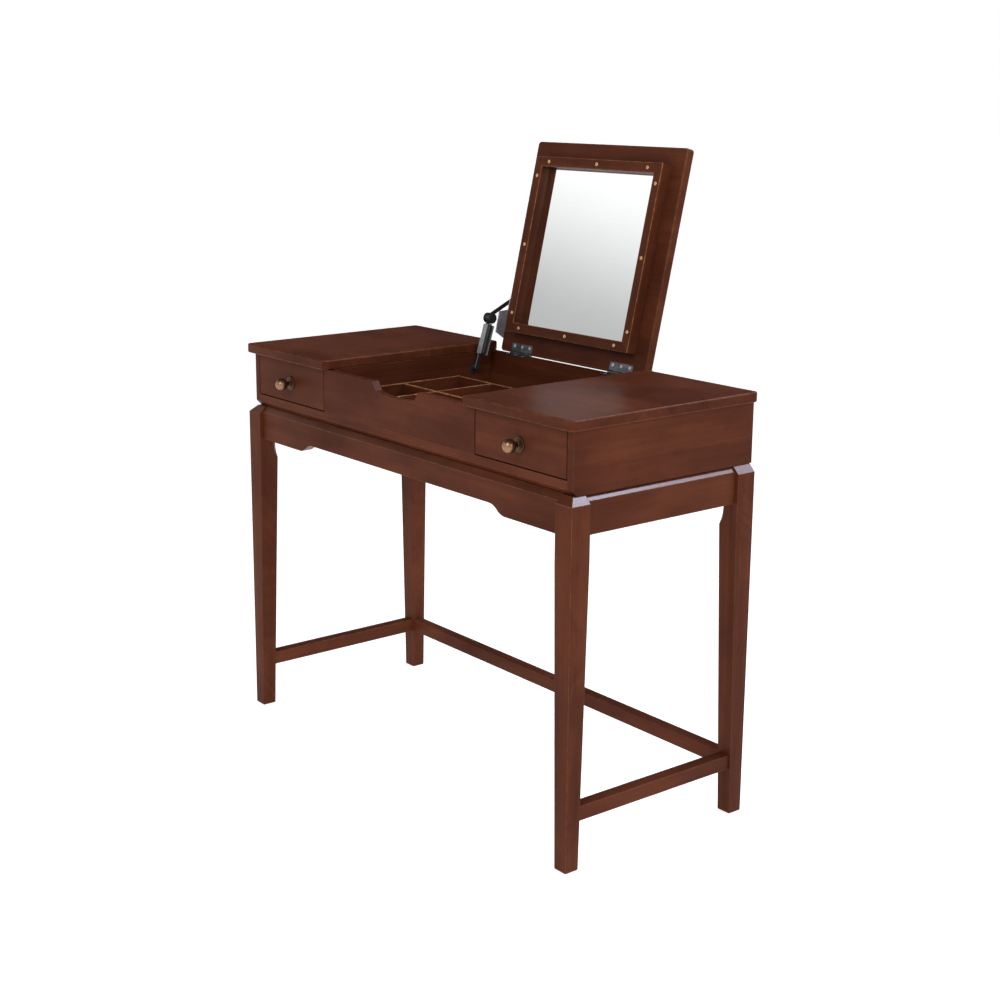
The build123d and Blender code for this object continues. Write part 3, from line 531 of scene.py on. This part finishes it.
def black_moulding(name):
    """Grained black plastic of the stay's knuckle."""
    material, tree = new_material(name)
    point = local_point(tree)
    grit = tree.noise(point, 1100.0, 2.0)
    dust = tree.noise(point, 60.0, 4.0)
    colour = tree.mix(tree.between(dust, 0.45, 0.75), (0.010, 0.010, 0.011), (0.026, 0.025, 0.025))
    tree.surface({
        "Base Color": colour, "Roughness": 0.42 + (dust - 0.5) * 0.2,
        "Normal": tree.bump(grit, 0.2, 0.0002),
    })
    return material


def make_finishes(wood, metal):
    """Every finish, under the record's slot names."""
    return {
        "stained_wood": stained_wood("stained_wood", wood),
        "divider_wood": stained_wood("divider_wood", wood, rub_and_highlight=0.85, lacquer=0.0),
        "inner_wood": plain_wood("inner_wood"),
        "antique_bronze": bronze("antique_bronze", metal),
        "plain_steel": worked_metal("plain_steel", (0.62, 0.62, 0.63), (0.36, 0.36, 0.37), 0.35),
        "hinge_steel": worked_metal("hinge_steel", (0.2, 0.2, 0.215), (0.07, 0.07, 0.078), 0.4),
        "zinc_plate": worked_metal("zinc_plate", (0.62, 0.66, 0.75), (0.44, 0.47, 0.55), 0.36, metallic=0.25),
        "brass_screw": worked_metal("brass_screw", metal.brass, (0.45, 0.27, 0.12), 0.26),
        "mirror": silvered_glass("mirror"),
        "black_steel": worked_metal(
            "black_steel", (0.030, 0.030, 0.033), (0.012, 0.012, 0.013), 0.34, metallic=0.0
        ),
        "grey_steel": worked_metal(
            "grey_steel", (0.36, 0.365, 0.38), (0.2, 0.205, 0.215), 0.42, metallic=0.35
        ),
        "black_plastic": black_moulding("black_plastic"),
    }


# --- pieces ----------------------------------------------------------------------------------------
def chance(name, number=0):
    """A fixed number from 0 to 1 that differs from name to name."""
    return zlib.crc32(f"{name}{number}".encode()) / 0xFFFFFFFF


def shut_turn(node):
    """The rotation that lays a piece of the raised lid level, so that grain runs true to the board."""
    return SHUT if BODY_OF[node] == "lid" else Matrix.Identity(3)


def grain_layers(bm, node, name):
    """Writes each point's place in the board's own grain, and the board's tone."""
    turn = shut_turn(node)
    axes = BOARDS[node]
    start = Vector([chance(name, number) * 9.0 for number in range(3)])
    start[2] *= 0.004
    grain = bm.verts.layers.float_vector.new("grain")
    tone = bm.verts.layers.float.new("tone")
    middle = turn @ sum((vert.co for vert in bm.verts), Vector()) / len(bm.verts)
    for vert in bm.verts:
        place = turn @ vert.co - middle
        vert[grain] = Vector([place[axis] for axis in axes]) + start
        vert[tone] = chance(name, 4) * 2.0 - 1.0


def ease_arrises(bm, width):
    """Rounds every arris by the given width, and marks the new faces as edges."""
    edge = bm.faces.layers.float.new("edge")
    if not width:
        return
    arrises = [e for e in bm.edges if len(e.link_faces) == 2 and e.calc_face_angle(0.0) > SHARP_BEND]
    eased = bmesh.ops.bevel(
        bm, geom=arrises, offset=width, offset_type="OFFSET", segments=3, profile=0.5, affect="EDGES",
        clamp_overlap=True,
    )
    for face in eased["faces"]:
        face[edge] = 1.0


def mark_slanted(bm, node, layer_name, value):
    """Gives a value to the slanted faces of a board: its chamfers and its own rounded edges."""
    turn = shut_turn(node)
    layer = bm.faces.layers.float.get(layer_name) or bm.faces.layers.float.new(layer_name)
    for face in bm.faces:
        if SLANT[0] < abs((turn @ face.normal).z) < SLANT[1]:
            face[layer] = value


def mark_tops(bm):
    """Marks every upward face as rubbed: the sanded top edges of the dividers."""
    edge = bm.faces.layers.float["edge"]
    for face in bm.faces:
        if face.normal.z > 0.5:
            face[edge] = 1.0


def paint_channel_shade(bm):
    """Marks the faces that look out to the right from behind the rim: the hollow of a channel, which gets a
    painted shade.
    """
    depth = max(vert.co.x for vert in bm.verts) - CHANNEL_RIM
    inside = bm.faces.layers.float.new("inside")
    for face in bm.faces:
        if face.normal.x > 0.5 and face.calc_center_median().x < depth:
            face[inside] = 1.0


def cad_mesh(node):
    """The node's own shape, with its flat faces made whole."""
    bm = bmesh.new()
    bm.from_mesh(frame["nodes"][node].data)
    bmesh.ops.remove_doubles(bm, verts=bm.verts, dist=MERGE)
    bmesh.ops.dissolve_limit(bm, angle_limit=FLAT_BEND, verts=bm.verts, edges=bm.edges)
    return bm


def add_mesh(bm, name, material):
    """Turns the mesh being edited into an object of one material, in the scene."""
    mesh = bpy.data.meshes.new(name)
    bm.to_mesh(mesh)
    bm.free()
    mesh.materials.append(material)
    piece = bpy.data.objects.new(name, mesh)
    bpy.context.scene.collection.objects.link(piece)
    return piece


def finish_piece(bm, name, node, material):
    """Makes the object, puts it in place of its CAD node and rides it on the node's body."""
    piece = add_mesh(bm, name, material)
    piece.data.shade_smooth()
    piece.data.set_sharp_from_angle(angle=SMOOTH_BEND)
    weighted = piece.modifiers.new("flat_faces", "WEIGHTED_NORMAL")
    weighted.keep_sharp = True
    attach(piece, BODY_OF[node])
    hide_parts(node)
    return piece


def dress_board(node, width, wear_and_highlight=0.0, sheen=0.0, mark=None):
    """A wooden piece with eased arrises and its own grain; its slanted faces may be painted paler, as rubbed
    stain and painted highlight, or shine.
    """
    bm = cad_mesh(node)
    if sheen:
        mark_slanted(bm, node, "sheen", sheen)
    ease_arrises(bm, width)
    # Slanted faces painted paler: rubbed stain and a painted highlight.
    if wear_and_highlight:
        mark_slanted(bm, node, "edge", wear_and_highlight)
    if mark:
        mark(bm)
    grain_layers(bm, node, node)
    return finish_piece(bm, node + "_finished", node, finish(SLOT_OF[node]))


def dress_plain(node, width, mark=None):
    """A metal, plastic or glass piece with eased arrises."""
    bm = cad_mesh(node)
    ease_arrises(bm, width)
    if mark:
        mark(bm)
    return finish_piece(bm, node + "_finished", node, finish(SLOT_OF[node]))


FINISHES = {}


def finish(slot):
    if not FINISHES:
        scene = bpy.context.scene
        FINISHES.update(make_finishes(scene.vanity_wood, scene.vanity_metal))
    return FINISHES[slot]


def ring_of(bm, radius, height, matrix, segments):
    """Vertices round local Z, or a single one where the radius is nothing."""
    angles = [2 * pi * step / segments for step in range(segments if radius > 0 else 1)]
    return [bm.verts.new(matrix @ Vector((radius * cos(a), radius * sin(a), height))) for a in angles]


def turn_profile(bm, profile, matrix, segments):
    """A solid turned about local Z from (radius, height) points, with the reach layer from 0 to 1."""
    reach = bm.verts.layers.float.get("reach") or bm.verts.layers.float.new("reach")
    rings = []
    top = max(point[1] for point in profile)
    for radius, height in profile:
        rings.append(ring_of(bm, radius, height, matrix, segments))
        for vert in rings[-1]:
            vert[reach] = height / top
    for low, high in zip(rings, rings[1:]):
        for step in range(segments):
            corners = [low[step % len(low)], low[(step + 1) % len(low)],
                       high[(step + 1) % len(high)], high[step % len(high)]]
            bm.faces.new(list(dict.fromkeys(corners)))


def knob_profile(rose, stem, ball, reach):
    """Radius and height up a ball knob: stepped rose, waisted stem and round head."""
    points = [(0.0, 0.0), (rose, 0.0), (rose, ROSE_LIP)]
    for turn in steps_of(pi / 2, 5):
        points.append((rose - SHOULDER_W * (1 - cos(turn)), ROSE_LIP + SHOULDER_H * sin(turn)))
    points += [(rose * share, height) for share, height in ROSE_STEPS]
    neck = asin(stem * 1.2 / ball)
    middle = reach - ball
    waist_low, waist_high = WAIST_FOOT, middle - ball * cos(neck)
    for step in steps_of(1.0, 8):
        flare = rose * 0.46 - stem if step < 0.5 else stem * 0.2
        points.append((stem + flare * (2 * step - 1) ** 4, waist_low + (waist_high - waist_low) * step))
    for turn in steps_of(pi - neck, 18):
        points.append((ball * sin(neck + turn), middle - ball * cos(neck + turn)))
    points[-1] = (0.0, reach)
    return points


def steps_of(whole, count):
    """The whole divided into equal steps, without its start."""
    return [whole * (step + 1) / count for step in range(count)]


def islands(node):
    """The vertex positions of each separate solid in a node."""
    mesh = frame["nodes"][node].data
    bm = bmesh.new()
    bm.from_mesh(mesh)
    bmesh.ops.remove_doubles(bm, verts=bm.verts, dist=MERGE)
    left = set(bm.verts)
    found = []
    while left:
        todo = [left.pop()]
        group = []
        while todo:
            vert = todo.pop()
            group.append(vert.co.copy())
            for e in vert.link_edges:
                other = e.other_vert(vert)
                if other in left:
                    left.remove(other)
                    todo.append(other)
        found.append(group)
    bm.free()
    return sorted(found, key=lambda group: tuple(round(value, 5) for value in group_middle(group)))


def group_middle(group):
    low = Vector([min(co[axis] for co in group) for axis in range(3)])
    high = Vector([max(co[axis] for co in group) for axis in range(3)])
    return (low + high) / 2


def standing(axis, foot, spin=0.0):
    """A matrix that stands a piece, drawn up local Z, on a foot point along an axis."""
    turn = axis.to_track_quat("Z", "Y").to_matrix().to_4x4()
    return Matrix.Translation(foot) @ turn @ Matrix.Rotation(spin, 4, "Z")


def cross_recess(bm, radius, depth, matrix):
    """A cross-shaped driver recess in a flat screw head, as a sunken star with sloping walls."""
    arm, half = radius * 0.62, radius * 0.13
    rim, floor = [], []
    for quarter in range(4):
        turn = Matrix.Rotation(quarter * pi / 2, 3, "Z")
        for x, y in ((half, half), (arm, half), (arm, -half)):
            flat = turn @ Vector((x, y, 0.0))
            deep = turn @ Vector((x * 0.55 + half * 0.2, y * 0.7, 0.0))
            rim.append(bm.verts.new(matrix @ flat))
            floor.append(bm.verts.new(matrix @ Vector((deep.x, deep.y, -depth))))
    return rim, floor


def screw_head(bm, radius, matrix):
    """A countersunk head seen from above: rounded rim, slightly domed face and a cross recess."""
    edge = bm.faces.layers.float.get("edge") or bm.faces.layers.float.new("edge")
    segments = HEAD_SEGMENTS
    rings = [ring_of(bm, radius * size, radius * height, matrix, segments) for size, height in HEAD_LEVELS]
    for low, high in zip(rings, rings[1:]):
        for step in range(segments):
            after = (step + 1) % segments
            face = bm.faces.new((low[step], low[after], high[after], high[step]))
            face[edge] = 1.0
    lift = Matrix.Translation((0, 0, radius * HEAD_LEVELS[-1][1]))
    rim, floor = cross_recess(bm, radius, radius * RECESS_DEPTH, matrix @ lift)
    last = rings[-1]
    outer_edges = [bm.edges.get((last[step], last[(step + 1) % segments])) for step in range(segments)]
    inner_edges = [bm.edges.new((rim[step], rim[(step + 1) % len(rim)])) for step in range(len(rim))]
    bmesh.ops.triangle_fill(bm, use_beauty=True, edges=outer_edges + inner_edges)
    for step in range(len(rim)):
        after = (step + 1) % len(rim)
        bm.faces.new((rim[after], rim[step], floor[step], floor[after]))
    bm.faces.new(floor)
    bm.faces.new(list(reversed(rings[0])))


def screw_set(node, axis, radius):
    """All the screws of a node, each where its solid is, heads facing along the axis."""
    bm = bmesh.new()
    for number, group in enumerate(islands(node)):
        top = max(co.dot(axis) for co in group)
        head = [co for co in group if co.dot(axis) > top - LEVEL]
        face = sum(head, Vector()) / len(head)
        screw_head(bm, radius, standing(axis, face - axis * 0.00005, chance(node, number) * pi))
        core, neck = radius * SHANK_SHARE, -radius * 0.5
        shank = [(0.0, -SCREW_L), (core, SCREW_TIP - SCREW_L), (core, neck), (0.0, neck)]
        turn_profile(bm, shank, standing(axis, face), SHANK_SEGMENTS)
    bmesh.ops.recalc_face_normals(bm, faces=bm.faces)
    return finish_piece(bm, node + "_finished", node, finish(SLOT_OF[node]))


def pivot_screw(node, slot):
    """A bright screw head on the rightmost face of a piece, riding with it."""
    points = [co for group in islands(node) for co in group]
    outmost = max(co.x for co in points)
    face = [co for co in points if co.x > outmost - LEVEL]
    radius = max((co - group_middle(face)).length for co in face)
    bm = bmesh.new()
    sunk = group_middle(face) - Vector((0.0002, 0, 0))
    screw_head(bm, radius * 0.92, standing(Vector((1, 0, 0)), sunk, 0.3))
    bmesh.ops.recalc_face_normals(bm, faces=bm.faces)
    piece = add_mesh(bm, node + "_screw", finish(slot))
    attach(piece, BODY_OF[node])


# --- operators -------------------------------------------------------------------------------------
class VANITY_OT_base(Operator):
    """Legs, aprons, stretchers, corner blocks and leg bolts"""

    bl_idname = "vanity.base"
    bl_label = "Base"

    def execute(self, context):
        ease = context.scene.vanity_wood.leg_ease
        for corner in ("front_left", "front_right", "back_left", "back_right"):
            dress_board(corner + "_leg", ease, sheen=CHAMFER_SHEEN)
        for side in ("front", "back", "left", "right"):
            dress_board(side + "_apron", ease * 0.6, sheen=CHAMFER_SHEEN)
        for side in ("left", "right", "back"):
            dress_board(side + "_stretcher", ease * 0.25, EDGE_WEAR_AND_HIGHLIGHT)
        dress_board("corner_blocks", ease)
        dress_plain("leg_bolts", BOLT_EASE)
        return {"FINISHED"}


class VANITY_OT_case(Operator):
    """Side panels, rail, front and back panels, bottom, partitions, runners and fixed tops"""

    bl_idname = "vanity.case"
    bl_label = "Case"

    def execute(self, context):
        ease = context.scene.vanity_wood.case_ease
        for node in ("left_side_panel", "right_side_panel", "front_rail", "front_panel", "case_bottom",
                     "left_partition", "right_partition", "drawer_runners"):
            dress_board(node, ease)
        dress_board("back_panel", 0.0)
        dress_board("left_top", 0.0, EDGE_WEAR_AND_HIGHLIGHT)
        dress_board("right_top", 0.0, EDGE_WEAR_AND_HIGHLIGHT)
        return {"FINISHED"}


class VANITY_OT_well(Operator):
    """The thin dividers of the well"""

    bl_idname = "vanity.well"
    bl_label = "Well dividers"

    def execute(self, context):
        for place in ("left", "middle", "cross", "back"):
            dress_board(place + "_divider", DIVIDER_EASE, mark=mark_tops)
        return {"FINISHED"}


class VANITY_OT_drawers(Operator):
    """Both drawers: fronts, boxes and the screws behind their knobs"""

    bl_idname = "vanity.drawers"
    bl_label = "Drawers"

    def execute(self, context):
        for side in ("left", "right"):
            for part in ("front", "inner_side", "outer_side", "back", "bottom"):
                dress_board(f"{side}_drawer_{part}", DRAWER_EASE)
            dress_plain(f"{side}_drawer_knob_screw", 0.0)
        return {"FINISHED"}


class VANITY_OT_knobs(Operator):
    """Turned bronze knobs on the drawer fronts"""

    bl_idname = "vanity.knobs"
    bl_label = "Knobs"

    def execute(self, context):
        segments = context.scene.vanity_metal.knob_segments
        for side in ("left", "right"):
            node = side + "_drawer_knob"
            low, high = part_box(node)
            foot = Vector(((low.x + high.x) / 2, high.y, (low.z + high.z) / 2))
            rose, reach = (high.x - low.x) / 2, high.y - low.y
            outer_half = [co for co in islands(node)[0] if co.y < foot.y - reach / 2]
            ball = max(hypot(co.x - foot.x, co.z - foot.z) for co in outer_half)
            bm = bmesh.new()
            profile = knob_profile(rose, ball * STEM_SHARE, ball, reach)
            turn_profile(bm, profile, standing(Vector((0, -1, 0)), foot), segments)
            bmesh.ops.recalc_face_normals(bm, faces=bm.faces)
            finish_piece(bm, node + "_finished", node, finish(SLOT_OF[node]))
        return {"FINISHED"}


class VANITY_OT_lid(Operator):
    """The lid and the mitred moulding round its mirror"""

    bl_idname = "vanity.lid"
    bl_label = "Lid"

    def execute(self, context):
        dress_board("lid_panel", 0.0, EDGE_WEAR_AND_HIGHLIGHT)
        for side in ("upper", "lower", "left", "right"):
            dress_board(side + "_moulding", 0.0, MOULDING_WEAR_AND_HIGHLIGHT)
        return {"FINISHED"}


class VANITY_OT_mirror(Operator):
    """The mirror glass"""

    bl_idname = "vanity.mirror"
    bl_label = "Mirror"

    def execute(self, context):
        dress_plain("mirror_glass", GLASS_EASE)
        return {"FINISHED"}


class VANITY_OT_hinges(Operator):
    """Butt hinge leaves and pins"""

    bl_idname = "vanity.hinges"
    bl_label = "Hinges"

    def execute(self, context):
        dress_plain("hinge_fixed_leaves", HINGE_EASE)
        dress_plain("hinge_lid_leaves", HINGE_EASE)
        dress_plain("hinge_pins", PIN_EASE)
        return {"FINISHED"}


class VANITY_OT_screws(Operator):
    """Countersunk screws in the moulding and the hinges"""

    bl_idname = "vanity.screws"
    bl_label = "Screws"

    def execute(self, context):
        out_of_lid = RAISE @ Vector((0, 0, -1))
        screw_set("moulding_screws", out_of_lid, MOULDING_SCREW_R)
        screw_set("hinge_lid_screws", out_of_lid, HINGE_SCREW_R)
        screw_set("hinge_fixed_screws", Vector((0, 0, 1)), HINGE_SCREW_R)
        return {"FINISHED"}


class VANITY_OT_stay(Operator):
    """The folding stay that holds the lid"""

    bl_idname = "vanity.stay"
    bl_label = "Lid stay"

    def execute(self, context):
        for node in ("stay_wall_bracket", "stay_upper_arm", "stay_lid_bracket"):
            dress_plain(node, STAY_EASE)
        # The hollow of the lower arm's channel is painted near black as shade.
        dress_plain("stay_lower_arm", STAY_EASE, mark=paint_channel_shade)
        pivot_screw("stay_wall_bracket", "zinc_plate")
        dress_plain("stay_spring_rod", ROD_EASE)
        dress_plain("stay_hub", HUB_EASE)
        return {"FINISHED"}


class VANITY_OT_stage(Operator):
    """Plain floor, soft lights and the camera"""

    bl_idname = "vanity.stage"
    bl_label = "Stage"

    def execute(self, context):
        settings = context.scene.vanity_stage
        make_floor(settings)
        make_studio(settings)
        make_lights(settings)
        make_camera(settings)
        context.scene.view_settings.view_transform = "Standard"
        return {"FINISHED"}


# --- stage -----------------------------------------------------------------------------------------
def make_floor(settings):
    material, tree = new_material("floor")
    grit = tree.noise(local_point(tree), 3.0, 3.0)
    shade = tuple(0.97 * value for value in settings.floor)
    tree.surface({
        "Base Color": tree.mix(grit, shade, settings.floor), "Roughness": 0.75 + (grit - 0.5) * 0.1,
        "Emission Color": (1.0, 1.0, 1.0, 1.0), "Emission Strength": settings.floor_glow,
        "Specular IOR Level": 0.1,
    })
    bm = bmesh.new()
    bmesh.ops.create_circle(bm, cap_ends=True, segments=96, radius=FLOOR_R)
    add_mesh(bm, "floor", material)


def make_studio(settings):
    """A white backdrop, an even ambient light, and surroundings for reflections that are dim behind."""
    world = bpy.data.worlds.new("studio")
    bpy.context.scene.world = world
    tree = Tree(world)
    side, depth, height = tree.split(tree.make("ShaderNodeTexCoord")[0])
    path = tree.make("ShaderNodeLightPath")
    straight, glossy = path[0], path[3]
    # In reflections a bright front wall ends a little above the eye, and a dim wall stands on the right.
    front = tree.between(depth, 0.25, -0.35)
    right = tree.between(side, 0.1, 0.7)
    rise = tree.between(height, 0.15, 0.255, 0.53, 1.12) - tree.between(side, -0.45, -0.8) * 0.05
    rise = rise + tree.between(height, 0.13, 0.0) * 0.5
    high_front = 1.0 - tree.between(height, 0.4, 0.6)
    mirrored = 0.05 + front * rise * high_front + right * (1.0 - front) * 0.25
    # A cool window high behind the table shows only in polished chamfers.
    toward_window = side * WINDOW.x + depth * WINDOW.y + height * WINDOW.z
    window = tree.between(toward_window, 0.88, 0.97) * settings.window
    # The ambient light is strongest near the horizon; the camera itself sees plain white.
    room = settings.ambient * (1.25 - tree.between(height, 0.05, 0.75) * 0.8)
    level = glossy * mirrored + (1.0 - glossy) * room
    level = level * (1.0 - straight) + straight
    window = window * glossy
    shade = tree.join(level + window * 0.72, level + window * 0.8, level + window)
    background = tree.make("ShaderNodeBackground", None, {"Color": shade, "Strength": 1.0})[0]
    tree.make("ShaderNodeOutputWorld", None, {"Surface": background})


def add_softbox(name, place, aim, size, power, colour):
    light = bpy.data.lights.new(name, "AREA")
    light.shape = "RECTANGLE"
    light.size, light.size_y = size
    light.energy = power
    light.color = colour
    box = bpy.data.objects.new(name, light)
    box.location = place
    box.rotation_euler = (aim - place).to_track_quat("-Z", "Y").to_euler()
    bpy.context.scene.collection.objects.link(box)


def make_lights(settings):
    low, high = CAD_BOX
    aim = Vector((0.0, (low.y + high.y) / 2, high.z * 0.5))
    for name, (offset, size, setting, share, colour) in SOFTBOXES.items():
        power = getattr(settings, setting) * share
        add_softbox(name, aim + Vector(offset), aim, size, power, colour)


def make_camera(settings):
    front_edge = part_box("left_top")[0].y
    aim = Vector((0.0, front_edge + settings.aim_depth, settings.aim_height))
    pitch, bearing = settings.pitch, settings.bearing
    back = Vector((sin(bearing) * cos(pitch), -cos(bearing) * cos(pitch), sin(pitch)))
    data = bpy.data.cameras.new("camera")
    data.lens = settings.lens
    data.sensor_width = 36.0
    data.shift_x, data.shift_y = settings.shift
    camera = bpy.data.objects.new("camera", data)
    camera.location = aim + back * settings.distance
    camera.rotation_euler = (pi / 2 - pitch, 0.0, bearing)
    bpy.context.scene.collection.objects.link(camera)
    bpy.context.scene.camera = camera


# --- panel and registration ------------------------------------------------------------------------
PIECES = (
    VANITY_OT_base, VANITY_OT_case, VANITY_OT_well, VANITY_OT_drawers, VANITY_OT_knobs, VANITY_OT_lid,
    VANITY_OT_mirror, VANITY_OT_hinges, VANITY_OT_screws, VANITY_OT_stay, VANITY_OT_stage,
)


class VANITY_PT_panel(Panel):
    """Lists every group of pieces with its settings"""

    bl_label = "Vanity table"
    bl_space_type = "VIEW_3D"
    bl_region_type = "UI"
    bl_category = "Vanity"

    def draw(self, context):
        for piece in PIECES:
            self.layout.operator(piece.bl_idname)
        for group in ("vanity_wood", "vanity_metal", "vanity_stage"):
            settings = getattr(context.scene, group)
            box = self.layout.box()
            for name in settings.__annotations__:
                box.prop(settings, name)


SETTINGS = {
    "vanity_wood": VanityWoodSettings,
    "vanity_metal": VanityMetalSettings,
    "vanity_stage": VanityStageSettings,
}


def register():
    for cls in (*SETTINGS.values(), *PIECES, VANITY_PT_panel):
        bpy.utils.register_class(cls)
    for name, cls in SETTINGS.items():
        setattr(bpy.types.Scene, name, PointerProperty(type=cls))


def unregister():
    for name in SETTINGS:
        delattr(bpy.types.Scene, name)
    for cls in reversed((*SETTINGS.values(), *PIECES, VANITY_PT_panel)):
        bpy.utils.unregister_class(cls)


def main():
    register()
    for piece in PIECES:
        group, name = piece.bl_idname.split(".")
        getattr(getattr(bpy.ops, group), name)()


if __name__ == "__main__":
    main()
